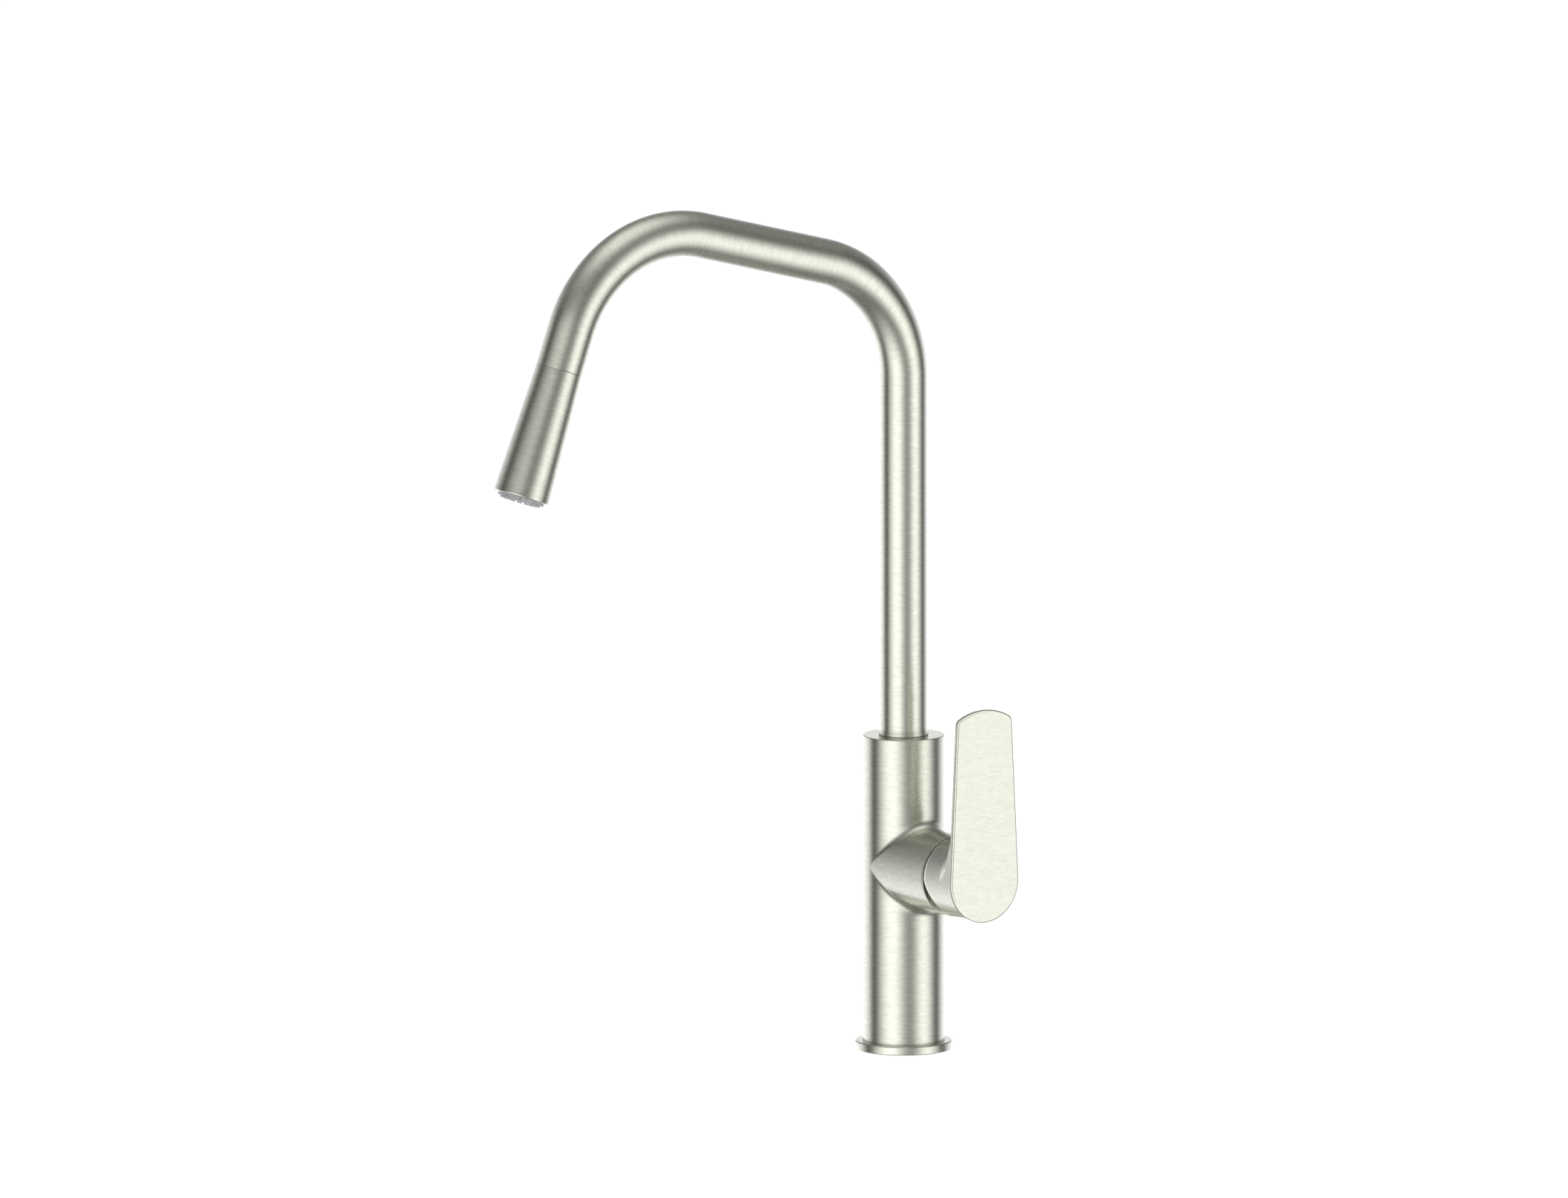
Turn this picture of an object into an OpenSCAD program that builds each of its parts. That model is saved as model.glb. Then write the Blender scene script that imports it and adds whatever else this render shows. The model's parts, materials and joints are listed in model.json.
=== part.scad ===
// Pull-down kitchen mixer tap: an upright round body with a side lever, a swivelling
// tall bent spout and a spray head that docks in the spout's end.
// +Z is up, the origin is the centre of the face that rests on the deck,
// the spout reaches towards -Y and the lever stands on the +X side.

/* [Body] */
// Diameter of the upright body, of its side branch and of the lever's hub
body_d = 43; // [40:0.5:46]
// Height of the body's flat top above the deck
body_h = 166.6; // [160:0.2:180]
// Diameter of the base flange
flange_d = 51.2; // [48:0.2:60]
// Height of the base flange
flange_h = 4.6; // [3:0.1:8]
// Height of the lever's axis above the deck
lever_z = 98.1; // [94:0.1:104]
// Distance from the body's axis to the rim of the side branch
branch_x = 50; // [50:0.1:51]

/* [Spout] */
// Outside diameter of the spout tube
tube_d = 25.2; // [24.8:0.1:25.4]
// Wall of the spout tube
tube_wall = 1.2; // [1:0.1:1.2]
// Height at which the upright stretch of the tube ends
riser_top = 355.8; // [300:0.2:400]
// Radius of both bends, on the tube's centre line
bend_r = 68.5; // [50:0.5:80]
// Angle of the first bend
bend_1 = 75; // [60:1:85]
// Length of the sloping stretch between the bends
slope_len = 79.7; // [60:0.1:100]
// Angle of the second bend
bend_2 = 85; // [75:1:100]
// Straight stretch from the second bend to the end of the tube
outlet_len = 21.9; // [21:0.1:30]

/* [Spray head] */
// Length of the visible spray head
head_len = 70; // [66:0.5:80]
// Diameter of the spray head where it meets the tube
head_top_d = 25.1; // [24.9:0.1:25.4]
// Diameter of the spray head at its outlet end
head_end_d = 30.6; // [29.5:0.1:32]
// Diameter of the spray face's toothed ring
nozzle_d = 25.2; // [24:0.1:26]
// How far the toothed ring stands out of the head
nozzle_out = 1.3; // [0.5:0.1:3]
// Number of notches in the edge of the toothed ring
nozzle_notches = 10; // [6:1:16]
// Number of teeth on the collar inside the toothed ring
nozzle_teeth = 16; // [12:1:24]
// Outside diameter of the spray hose
hose_d = 13; // [12:0.5:13]

/* [Lever] */
// Distance from the body's axis to the front face of the lever plate
plate_x = 76.2; // [75:0.1:80]
// Thickness of the lever plate
plate_t = 2.8; // [2:0.1:4]
// Height of the plate's top above the lever's axis
plate_top = 91.5; // [70:0.5:110]
// Lean of each side edge of the plate
plate_lean = 2.8; // [1:0.1:4]
// Radius of the plate's arched top edge
plate_arch_r = 31; // [28:1:60]
// Radius of the plate's two top corners
plate_corner_r = 4; // [2:0.5:6]
// Radius of the hollow blend from hub to plate
plate_blend = 8.1; // [5:0.1:9]
// Gap between the branch rim and the lever's hub
hub_gap = 1; // [0.8:0.1:1.2]
// Largest tilt of the lever, which opens the water
lever_tilt = 20; // [15:1:20]

/* [Cartridge] */
// Distance from the body's axis to the cartridge's seat
seat_x = 18; // [17.5:0.5:18.5]
// Distance from the body's axis to the lever's tilt pin
pivot_x = 41; // [41:0.1:41.2]
// Distance from the tilt pin to the ball that drives the moving disc
ball_arm = 9; // [8.8:0.1:9.2]

/* [Mounting] */
// Outside diameter of the threaded mounting shank
shank_d = 33; // [32:0.5:33]
// Inside diameter of the mounting shank
shank_bore = 29.5; // [29.3:0.1:29.6]
// Length of the shank below the deck face
shank_drop = 60; // [50:1:80]
// Thickness of the deck that the nut is drawn clamped to
deck_t = 25; // [10:1:30]

/* [Hidden] */
$fn = 72;

nickel = "#b7b6ab";
brass = "#c8a760";
steel = "#a9abad";
rubber = "#26272a";
black_plastic = "#35363a";
white_plastic = "#e4e5e2";
grey_plastic = "#c9cbca";
ceramic = "#ece9e1";
braid = "#8d9093";

body_r = body_d / 2;
tube_r = tube_d / 2;
tube_bore_r = tube_r - tube_wall;
hose_r = hose_d / 2;
hose_bore_r = 3.5;
eps = 0.01;
fit = 0.05;
run_fit = 0.03;
clear = 0.3;
edge_round = 0.6;

// Body inside: bottom bore for the shank, ported block, top bore for the spout's foot
block_bottom = 70;
block_top = 121;
shank_engage = 18;
neck_bore_r = 12.3;
// Places of the hose passage, the outlet tube and the two inlets, seen from above
hose_x = -7.2;
hose_passage_r = 7.3;
// Steps by which the passage widens upwards: [x, height above the lever's axis]
hose_steps = [[-3.6, -3], [-2.2, 8]];
outlet_at = [9.5, 0];
inlet_at = [2.5, 9.2];
inlet_thread_r = 5;
inlet_thread_depth = 12;
duct_r = 3;
// Heights of the ducts relative to the lever's axis
inlet_rise = 3.9;
outlet_rise = -10;
outlet_tube_r = 3.5;
outlet_tube_bore_r = 2.5;
outlet_tube_seat = 8;

// Mounting set below the deck
clamp_r = 29;
clamp_bore_r = shank_d / 2 + 0.4;
gasket_t = 3;
washer_t = 2;
nut_h = 11;
nut_drop = 20;
jack_circle_r = 21.3;
jack_r = 2.5;
jack_len = 22;
jack_drop = 27;
jack_head_r = 4.2;
connector_r = 5.6;
connector_drop = 18;
connector_len = 26;
socket_r = 4;
socket_len = 14;

// Seal in the flange's underside
seal_r = 23;
seal_w = 4;
seal_t = 1.5;

// Cartridge, along X from its seat
cartridge_r = 17.3;
base_t = 4.5;
base_x = seat_x + base_t;
fixed_disc_t = 3.5;
moving_disc_t = 3;
moving_x = base_x + fixed_disc_t;
carrier_x = moving_x + moving_disc_t;
carrier_t = 5.5;
carrier_end = carrier_x + carrier_t;
chamber_r = 14.3;
fixed_disc_r = 14.2;
moving_disc_r = 12.2;
disc_travel = ball_arm * sin(lever_tilt);
housing_end = base_x + 20;
lip_t = 1.5;
guide_x = carrier_end + 0.5;
guide_flange_r = 15;
guide_neck_r = 11.7;
guide_end = pivot_x + 5;
nut_r = 19;
nut_end = housing_end + 5.5;
dome_r = 19;
dome_rim_x = branch_x + hub_gap - 0.2;
dome_hole_r = 12.2;
peg_r = 1.5;
peg_z = 13;
pin_r = 1.5;
pin_len = 19;
port_seal_r = 4.4;
port_seal_t = 1.5;
slot_half = 6.4;

// Lever
hub_x = branch_x + hub_gap;
hub_cavity_r = 19.4;
hub_cavity_end = pivot_x + 21;
hub_relief = lever_tilt + 0.5;
plate_back = plate_x - plate_t;
stem_w = 8;
stem_end = plate_back - 2.6;
stem_flat_w = 6;
stem_flat_h = 7;
stem_flat_back = 5;
stem_flat_front = 9;
ball_r = 2.4;
set_screw_x = (hub_cavity_end + plate_back) / 2 - 1;
set_screw_r = 2.5;
set_screw_len = 11;
set_cap_r = 3.3;
set_cap_t = 1.9;

// Spout, along its own centre line
joint_gap = 0.5;
bend_lap = 0.5;
bend_hair = 0.05;
tube_start = body_h + joint_gap;
foot_flare_r = tube_r + 0.4;
foot_flare_h = 4;
foot_band_h = 0.8;
foot_bottom = 132;
foot_plug = 19;
foot_r = neck_bore_r - clear;
foot_bore_r = 9.5;
ring_groove_r = 11.2;
ring_h = 3;
ring_z_upper = body_h - 7;
ring_z_lower = foot_bottom + 4;
stop_z = 147.8;
stop_groove_h = 3.6;
stop_groove_r = 10.6;
stop_screw_r = 2;

// Hose: straight in the riser, then an easy double bend past the cartridge block
hose_split_z = 200;
hose_bend_top = 150;
hose_bend_r = 150;
hose_bend_angle = acos(1 - abs(hose_x) / (2 * hose_bend_r));
hose_bend_drop = 2 * hose_bend_r * sin(hose_bend_angle);
hose_bottom = -shank_drop - 14;
hose_tail = 30;

// Spray head, along its own axis from the seam with the tube
seam = 0.25;
shell_wall = 1.6;
collar_r = 9.6;
collar_bore_r = 7.3;
collar_len = 13;
dock_r = tube_bore_r - fit;
dock_bore_r = collar_r + clear;
dock_len = 17;
magnet_len = 4.5;
head_magnet_len = 3.4;
nipple_r = 5.5;
nipple_end = 20;
nipple_flange_r = 6.8;
nipple_flange_z = 4;
nipple_flange_t = 2.5;
nipple_groove_z = 14;
nipple_groove_h = 2.2;
nipple_groove_r = 4.3;
sleeve_r = 6.95;
sleeve_top = -21;
sleeve_end = -9;
sleeve_crimp = 2;
hose_gap = 1;
core_top = 7;
core_r = 9;
core_bore_r = 5.6;
core_outlet_r = 3.6;
filter_z = nipple_end + 0.5;
valve_z = nipple_end + 2.5;
valve_len = 12;
restrictor_t = 2.9;
core_seat = 41;
core_skirt_z = 50;
core_skirt_r = 12.6;
nozzle_r = nozzle_d / 2;
nozzle_z = 58;
nozzle_bore_r = 10;
nozzle_seal_t = 1.2;
nozzle_end = head_len + nozzle_out;
screen_t = 9.5;
screen_step = 1.85;
teeth_r = 10.9;
teeth_bore_r = 9.2;
teeth_h = 1.1;
tooth_gap = 1.5;
notch_w = 1.1;
notch_h = 0.9;
head_end_bore_r = nozzle_r + clear;

function arc(cx, cy, r, from, to, steps = 8) =
    [for (i = [0:steps]) let (a = from + (to - from) * i / steps) [cx + r * cos(a), cy + r * sin(a)]];

// A ring or, with no bore, a disc
module ring(ro, ri, h) {
    difference() {
        cylinder(r = ro, h = h);
        if (ri > 0) translate([0, 0, -1]) cylinder(r = ri, h = h + 2);
    }
}

// An upright cylinder from one height to another
module upright_cylinder(r, from_z, to_z) {
    translate([0, 0, from_z]) cylinder(r = r, h = to_z - from_z);
}

// Puts its children on the lever's axis, with their +Z along +X and their +Y up
module on_lever_axis(x = 0) {
    translate([x, 0, lever_z]) rotate([90, 0, 90]) children();
}

// Puts its children at the end of the spout tube, with their +Z along the outlet
module at_outlet() {
    translate([0, 0, riser_top])
        translate([0, -bend_r, 0]) rotate([bend_1, 0, 0]) translate([0, bend_r, 0])
            translate([0, 0, slope_len])
                translate([0, -bend_r, 0]) rotate([bend_2, 0, 0]) translate([0, bend_r, 0])
                    translate([0, 0, outlet_len]) children();
}

// A ring bent round +Z, with its first end at the angle 0. Its wall is a hair thinner
// than the straight stretches, and its ends are let into theirs, so that they join.
module pipe_arc(ro, ri, r, angle) {
    rotate([0, 0, -bend_lap]) rotate_extrude(angle = angle + 2 * bend_lap) translate([r, 0]) difference() {
        circle(r = ro - bend_hair);
        circle(r = ri + bend_hair);
    }
}

// A pipe that starts at the origin along +Z and bends towards -Y
module pipe_bend(ro, ri, angle) {
    translate([0, -bend_r, 0]) rotate([90, 0, 90]) pipe_arc(ro, ri, bend_r, angle);
}

// A pipe along the spout's centre line, from a height in the riser
// to a distance past the second bend
module spout_pipe(ro, ri, from_z, past_bend) {
    translate([0, 0, from_z]) ring(ro, ri, riser_top - from_z);
    translate([0, 0, riser_top]) {
        pipe_bend(ro, ri, bend_1);
        translate([0, -bend_r, 0]) rotate([bend_1, 0, 0]) translate([0, bend_r, 0]) {
            ring(ro, ri, slope_len);
            translate([0, 0, slope_len]) {
                pipe_bend(ro, ri, bend_2);
                if (past_bend > 0)
                    translate([0, -bend_r, 0]) rotate([bend_2, 0, 0]) translate([0, bend_r, 0])
                        ring(ro, ri, past_bend);
            }
        }
    }
}

module body_outside() {
    rotate_extrude() polygon(concat([[0, flange_h], [body_r, flange_h]],
        arc(body_r - edge_round, body_h - edge_round, edge_round, 0, 90, 4), [[0, body_h]]));
    on_lever_axis() rotate_extrude() polygon(concat([[0, 0], [body_r, 0]],
        arc(body_r - edge_round, branch_x - edge_round, edge_round, 0, 90, 4), [[0, branch_x]]));
}

// Water ways: two inlets and one outlet, each up from below and across to the cartridge
module body_ducts() {
    for (side = [-1, 1]) {
        translate([inlet_at[0], side * inlet_at[1], block_bottom - 1])
            cylinder(r = inlet_thread_r, h = inlet_thread_depth + 1);
        translate([inlet_at[0], side * inlet_at[1], block_bottom])
            cylinder(r = duct_r, h = lever_z + inlet_rise + duct_r + 0.4 - block_bottom);
        translate([inlet_at[0], side * inlet_at[1], lever_z + inlet_rise])
            rotate([0, 90, 0]) cylinder(r = duct_r - 0.2, h = seat_x - inlet_at[0] + 1);
    }
    translate([outlet_at[0], outlet_at[1], block_bottom - 1])
        cylinder(r = outlet_tube_r + fit, h = outlet_tube_seat + 1);
    translate([outlet_at[0], outlet_at[1], block_bottom])
        cylinder(r = outlet_tube_bore_r, h = lever_z + outlet_rise + outlet_tube_bore_r + 0.4 - block_bottom);
    translate([outlet_at[0], outlet_at[1], lever_z + outlet_rise])
        rotate([0, 90, 0]) cylinder(r = outlet_tube_bore_r - 0.2, h = seat_x - outlet_at[0] + 1);
}

module body_casting() {
    color(nickel) difference() {
        body_outside();
        translate([0, 0, -1]) cylinder(r = shank_d / 2 + fit, h = block_bottom + 1);
        translate([0, 0, block_top]) cylinder(r = neck_bore_r, h = body_h);
        translate([hose_x, 0, 0]) upright_cylinder(hose_passage_r, block_bottom - 1, block_top + 1);
        for (step = hose_steps) translate([step[0], 0, lever_z + step[1]]) {
            cylinder(r = hose_passage_r, h = block_top + 1 - lever_z - step[1]);
            translate([hose_x - step[0], -hose_passage_r, 0])
                cube([step[0] - hose_x, 2 * hose_passage_r, block_top + 1 - lever_z - step[1]]);
        }
        on_lever_axis(seat_x) cylinder(r = cartridge_r + 0.1, h = branch_x);
        on_lever_axis(housing_end) cylinder(r = nut_r + fit, h = branch_x);
        on_lever_axis(seat_x - 4) translate([0, peg_z]) cylinder(r = peg_r + 0.1, h = 5);
        translate([0, 0, stop_z]) rotate([-90, 0, 0]) cylinder(r = stop_screw_r + fit, h = body_d);
        body_ducts();
    }
}

module base_flange() {
    color(nickel) difference() {
        rotate_extrude() polygon(concat(
            [[shank_d / 2 + 0.4, 0], [flange_d / 2, 0]],
            arc(flange_d / 2 - 1, flange_h - 1, 1, 0, 90, 5),
            [[shank_d / 2 + 0.4, flange_h]]));
        translate([0, 0, -seal_t]) ring(seal_r, seal_r - seal_w, 2 * seal_t);
    }
}

// Rubber ring in the flange's groove, flush with the deck face
module base_seal() {
    color(rubber) ring(seal_r - fit, seal_r - seal_w + fit, seal_t - fit);
}

module mounting_shank() {
    color(brass) translate([0, 0, -shank_drop]) difference() {
        ring(shank_d / 2, shank_bore / 2, shank_drop + flange_h + shank_engage);
        translate([0, 0, -eps]) cylinder(r1 = shank_bore / 2 + 0.8, r2 = shank_bore / 2, h = 0.8);
    }
}

module deck_gasket() {
    color(rubber) translate([0, 0, -deck_t - gasket_t]) ring(clamp_r, clamp_bore_r, gasket_t);
}

module clamp_washer() {
    color(steel) translate([0, 0, -deck_t - gasket_t - washer_t])
        ring(clamp_r - 1, clamp_bore_r, washer_t);
}

// Hexagonal nut with three tapped holes for the jack screws
module mounting_nut() {
    color(brass) translate([0, 0, -deck_t - nut_drop]) difference() {
        cylinder(r = clamp_r, h = nut_h, $fn = 6);
        translate([0, 0, -1]) cylinder(r = shank_d / 2 + fit, h = nut_h + 2);
        jack_places() translate([0, 0, -1]) cylinder(r = jack_r + fit, h = nut_h + 2);
    }
}

module jack_places() {
    for (i = [0:2]) rotate([0, 0, 120 * i]) translate([jack_circle_r, 0, 0]) children();
}

module jack_screws() {
    color(steel) translate([0, 0, -deck_t - jack_drop]) jack_places() difference() {
        union() {
            cylinder(r = jack_r, h = jack_len);
            cylinder(r = jack_head_r, h = 4);
        }
        translate([0, 0, -1]) cylinder(r = 2, h = 3.5, $fn = 6);
    }
}

module outlet_tube() {
    color(brass) translate([outlet_at[0], outlet_at[1], hose_bottom])
        ring(outlet_tube_r, outlet_tube_bore_r, block_bottom + outlet_tube_seat - hose_bottom);
}

// Socket below the deck that the far end of the spray hose plugs into
module outlet_connector() {
    color(steel) translate([outlet_at[0], outlet_at[1], hose_bottom - connector_drop]) difference() {
        cylinder(r = connector_r, h = connector_len);
        upright_cylinder(socket_r, -1, socket_len);
        upright_cylinder(outlet_tube_bore_r, socket_len - 1, connector_drop + 1);
        upright_cylinder(outlet_tube_r + fit, connector_drop, connector_len + 1);
    }
}

// The hose from the riser down past the cartridge block and out of the shank.
// Its route is [x, z, lean], straight above and below an easy double bend.
module spray_hose_lower() {
    bends_end = hose_bend_top - hose_bend_drop;
    steps = 5;
    sides = 20;
    route = concat(
        [[0, hose_split_z, 0]],
        [for (i = [0:steps]) let (a = hose_bend_angle * i / steps)
            [hose_bend_r * (cos(a) - 1), hose_bend_top - hose_bend_r * sin(a), a]],
        [for (i = [steps - 1:-1:0]) let (a = hose_bend_angle * i / steps)
            [hose_x + hose_bend_r * (1 - cos(a)), bends_end + hose_bend_r * sin(a), a]],
        [[hose_x, hose_bottom, 0]]);
    last = len(route) - 1;
    points = [for (p = route, i = [0:sides - 1]) let (t = 360 * i / sides)
        [p[0] + hose_r * cos(t) * cos(p[2]), hose_r * sin(t), p[1] - hose_r * cos(t) * sin(p[2])]];
    walls = [for (k = [0:last - 1], i = [0:sides - 1])
        let (a = k * sides + i, b = k * sides + (i + 1) % sides)
            each [[a, b, a + sides], [b, b + sides, a + sides]]];
    color(braid) polyhedron(points, concat(walls,
        [[for (i = [sides - 1:-1:0]) i]], [[for (i = [0:sides - 1]) last * sides + i]]));
}

// Plug on the far end of the spray hose, for the outlet connector
module hose_end_fitting() {
    ferrule = 12;
    collar = 8;
    plug = hose_tail - ferrule - collar;
    color(steel) translate([hose_x, 0, hose_bottom - hose_tail]) difference() {
        union() {
            upright_cylinder(hose_r + 0.6, hose_tail - ferrule, hose_tail);
            upright_cylinder(5, hose_tail - ferrule - collar + 2, hose_tail - ferrule + 2);
            upright_cylinder(socket_r - 0.2, 0, plug + 4);
        }
        translate([0, 0, -1]) cylinder(r = 2.2, h = hose_tail + 2);
    }
}

module spout_stop_screw() {
    color(steel) translate([0, stop_groove_r + 0.3, stop_z]) rotate([-90, 0, 0]) difference() {
        union() {
            cylinder(r = 1.3, h = 3);
            translate([0, 0, 2]) cylinder(r = stop_screw_r, h = 6.5);
        }
        translate([0, 0, 6]) cylinder(r = 1.1, h = 4, $fn = 6);
    }
}

// Dark friction washer seen as a line between body and spout
module swivel_washer() {
    color(black_plastic) translate([0, 0, body_h]) ring(tube_r + 0.1, foot_r + fit, joint_gap - fit);
}

// Places of the cartridge's three ports, in the plane across the lever's axis
module port_places() {
    for (side = [-1, 1]) translate([side * inlet_at[1], inlet_rise, 0]) children();
    translate([0, outlet_rise, 0]) children();
}

module cartridge_base() {
    color(white_plastic) on_lever_axis(seat_x) difference() {
        union() {
            cylinder(r = cartridge_r, h = base_t);
            translate([0, peg_z, -3]) cylinder(r = peg_r, h = 3 + eps);
        }
        port_places() {
            translate([0, 0, -1]) cylinder(r = duct_r, h = base_t + 2);
            translate([0, 0, -1]) cylinder(r = port_seal_r, h = port_seal_t + 1);
        }
    }
}

module port_seals() {
    color(rubber) on_lever_axis(seat_x) port_places() ring(port_seal_r - fit, duct_r, port_seal_t);
}

module cartridge_housing() {
    color(white_plastic) on_lever_axis(base_x) difference() {
        cylinder(r = cartridge_r, h = housing_end - base_x);
        translate([0, 0, -1]) cylinder(r = chamber_r, h = guide_x - base_x + 0.8);
        translate([0, 0, guide_x - base_x - 0.3])
            cylinder(r = guide_flange_r + clear, h = housing_end - lip_t - guide_x + 0.3);
        cylinder(r = guide_neck_r + clear, h = housing_end);
    }
}

module fixed_disc() {
    color(ceramic) on_lever_axis(base_x) difference() {
        cylinder(r = fixed_disc_r, h = fixed_disc_t);
        port_places() translate([0, 0, -1]) cylinder(r = duct_r, h = fixed_disc_t + 2);
    }
}

// Moving parts of the valve lie half the travel low while the lever is shut
module moving_disc() {
    color(ceramic) on_lever_axis(moving_x + eps) translate([0, -disc_travel / 2, 0]) difference() {
        cylinder(r = moving_disc_r, h = moving_disc_t - eps);
        translate([0, 0, -1]) cylinder(r = 8.5, h = 2.6);
    }
}

module disc_carrier() {
    color(black_plastic) on_lever_axis(carrier_x) difference() {
        translate([0, -disc_travel / 2, 0]) cylinder(r = moving_disc_r, h = carrier_t);
        translate([0, 0, pivot_x - ball_arm - carrier_x - ball_r - 0.3])
            cylinder(r = ball_r + clear, h = carrier_t);
    }
}

module rotary_guide() {
    color(grey_plastic) on_lever_axis(guide_x) difference() {
        union() {
            cylinder(r = guide_flange_r, h = housing_end - lip_t - guide_x - clear);
            cylinder(r = guide_neck_r, h = guide_end - guide_x);
        }
        translate([-stem_flat_w / 2 - clear, -slot_half, -1])
            cube([stem_flat_w + 2 * clear, 2 * slot_half, 20]);
        translate([0, 0, pivot_x - guide_x]) rotate([0, 90, 0])
            cylinder(r = pin_r + fit, h = 40, center = true);
    }
}

module stem_pin() {
    color(steel) on_lever_axis(pivot_x) rotate([0, 90, 0]) cylinder(r = pin_r, h = pin_len, center = true);
}

module retaining_nut() {
    color(brass) on_lever_axis(housing_end) difference() {
        cylinder(r = nut_r, h = nut_end - housing_end);
        translate([0, 0, -1]) cylinder(r = guide_neck_r + 0.8, h = 10);
        for (i = [0:5]) rotate([0, 0, 60 * i]) translate([nut_r - 4, -1.5, 3])
            cube([5, 3, 5]);
    }
}

// Round cover over the cartridge that the lever's hub tilts around
module trim_dome() {
    color(nickel) difference() {
        union() {
            on_lever_axis(nut_end) cylinder(r = dome_r - 0.1, h = dome_rim_x - nut_end);
            intersection() {
                on_lever_axis(pivot_x) sphere(r = dome_r);
                on_lever_axis(nut_end) cylinder(r = dome_r, h = 20);
            }
        }
        on_lever_axis(nut_end - 1) cylinder(r = dome_hole_r, h = 30);
        intersection() {
            on_lever_axis(pivot_x) sphere(r = dome_r - 1.8);
            on_lever_axis(nut_end - 1) cylinder(r = dome_r, h = 30);
        }
    }
}

// Outline of the lever plate, its axis at the origin and its top along +Y
module plate_outline() {
    r = body_r;
    lean = plate_lean;
    top = plate_top;
    arch = plate_arch_r;
    corner = plate_corner_r;
    // The corner circle touches the side edge and, from inside, the arched top
    reach = arch - corner;
    function side_at(y) = r / cos(lean) - y * tan(lean) - corner / cos(lean);
    function corner_y(y, n) =
        n == 0 ? y : corner_y(top - arch + sqrt(reach * reach - pow(side_at(y), 2)), n - 1);
    cy = corner_y(top - corner, 12);
    cx = side_at(cy);
    arch_half = atan2(cx, cy - (top - arch));
    circle(r = r);
    polygon(concat(
        [[0, 0], [r * cos(lean), r * sin(lean)]],
        arc(cx, cy, corner, lean, 90 - arch_half, 6),
        arc(0, top - arch, arch, 90 - arch_half, 90 + arch_half, 16),
        arc(-cx, cy, corner, 90 + arch_half, 180 - lean, 6),
        [[-r * cos(lean), r * sin(lean)]]));
}

// Hub, hollow blend and plate of the lever
module handle_lever() {
    color(nickel) difference() {
        union() {
            on_lever_axis(hub_x) cylinder(r = body_r, h = plate_back - hub_x + eps);
            intersection() {
                on_lever_axis(plate_back - plate_blend) rotate_extrude() polygon(concat(
                    [[0, 0], [body_r, 0]],
                    arc(body_r + plate_blend, 0, plate_blend, 180, 90, 8),
                    [[0, plate_blend]]));
                on_lever_axis(plate_back - plate_blend) linear_extrude(plate_blend + 1) plate_outline();
            }
            on_lever_axis(plate_back) linear_extrude(plate_t) plate_outline();
        }
        on_lever_axis(hub_x - 1) cylinder(r = hub_cavity_r, h = hub_cavity_end - hub_x + 1);
        // Relief below the axis, so that the hub can tilt towards the branch
        translate([hub_x, 0, lever_z]) rotate([0, -hub_relief, 0])
            translate([-body_d, -body_d, -2 * body_d]) cube([body_d, 2 * body_d, 2 * body_d]);
        translate([hub_cavity_end - 1, -stem_w / 2 - fit, lever_z - stem_w / 2 - fit])
            cube([stem_end - hub_cavity_end + 1.2, stem_w + 2 * fit, stem_w + 2 * fit]);
        translate([set_screw_x, 0, lever_z - body_d]) cylinder(r = set_screw_r + fit, h = body_d - 1);
        translate([set_screw_x, 0, 0])
            upright_cylinder(set_cap_r + 0.1, lever_z - body_d, lever_z - body_r + set_cap_t + 0.7);
    }
}

module lever_stem() {
    color(steel) difference() {
        union() {
            on_lever_axis(pivot_x - ball_arm) sphere(r = ball_r);
            on_lever_axis(pivot_x - ball_arm) cylinder(r = 1.4, h = ball_arm - stem_flat_back + 0.1);
            translate([pivot_x - stem_flat_back, -stem_flat_w / 2, lever_z - stem_flat_h / 2])
                cube([stem_flat_back + stem_flat_front, stem_flat_w, stem_flat_h]);
            translate([pivot_x + stem_flat_front, -stem_w / 2, lever_z - stem_w / 2])
                cube([stem_end - pivot_x - stem_flat_front, stem_w, stem_w]);
        }
        on_lever_axis(pivot_x) rotate([0, 90, 0]) cylinder(r = pin_r + run_fit, h = 20, center = true);
    }
}

module lever_set_screw() {
    color(steel) translate([set_screw_x, 0, lever_z - stem_w / 2 - set_screw_len]) difference() {
        cylinder(r = set_screw_r, h = set_screw_len);
        translate([0, 0, -1]) cylinder(r = 1.4, h = 4, $fn = 6);
    }
}

module set_screw_cap() {
    color(nickel) translate([set_screw_x, 0, lever_z - body_r + 0.6])
        cylinder(r = set_cap_r, h = set_cap_t);
}

module spout_tube() {
    color(nickel) {
        spout_pipe(tube_r, tube_bore_r, tube_start, outlet_len);
        translate([0, 0, tube_start]) rotate_extrude() polygon(concat(
            [[tube_r - 0.5, 0], [foot_flare_r, 0], [foot_flare_r, foot_band_h]],
            [for (i = [1:6]) [tube_r + (foot_flare_r - tube_r) * pow(1 - i / 6, 2),
                foot_band_h + (foot_flare_h - foot_band_h) * i / 6]],
            [[tube_r - 0.5, foot_flare_h]]));
    }
}

// Sleeve that turns in the body's neck and plugs into the tube
module spout_foot() {
    color(brass) difference() {
        union() {
            upright_cylinder(foot_r, foot_bottom, body_h - 0.1);
            upright_cylinder(tube_bore_r - fit, foot_bottom, tube_start + foot_plug);
        }
        translate([0, 0, foot_bottom - 1]) cylinder(r = foot_bore_r, h = 80);
        for (z = [ring_z_upper, ring_z_lower]) translate([0, 0, z]) ring(20, ring_groove_r - fit, ring_h);
        translate([0, 0, stop_z - stop_groove_h / 2]) ring(20, stop_groove_r, stop_groove_h);
    }
}

module slide_ring(z) {
    color(white_plastic) translate([0, 0, z + fit])
        ring(neck_bore_r - run_fit, ring_groove_r, ring_h - 2 * fit);
}

module slide_ring_upper() {
    slide_ring(ring_z_upper);
}

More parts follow.
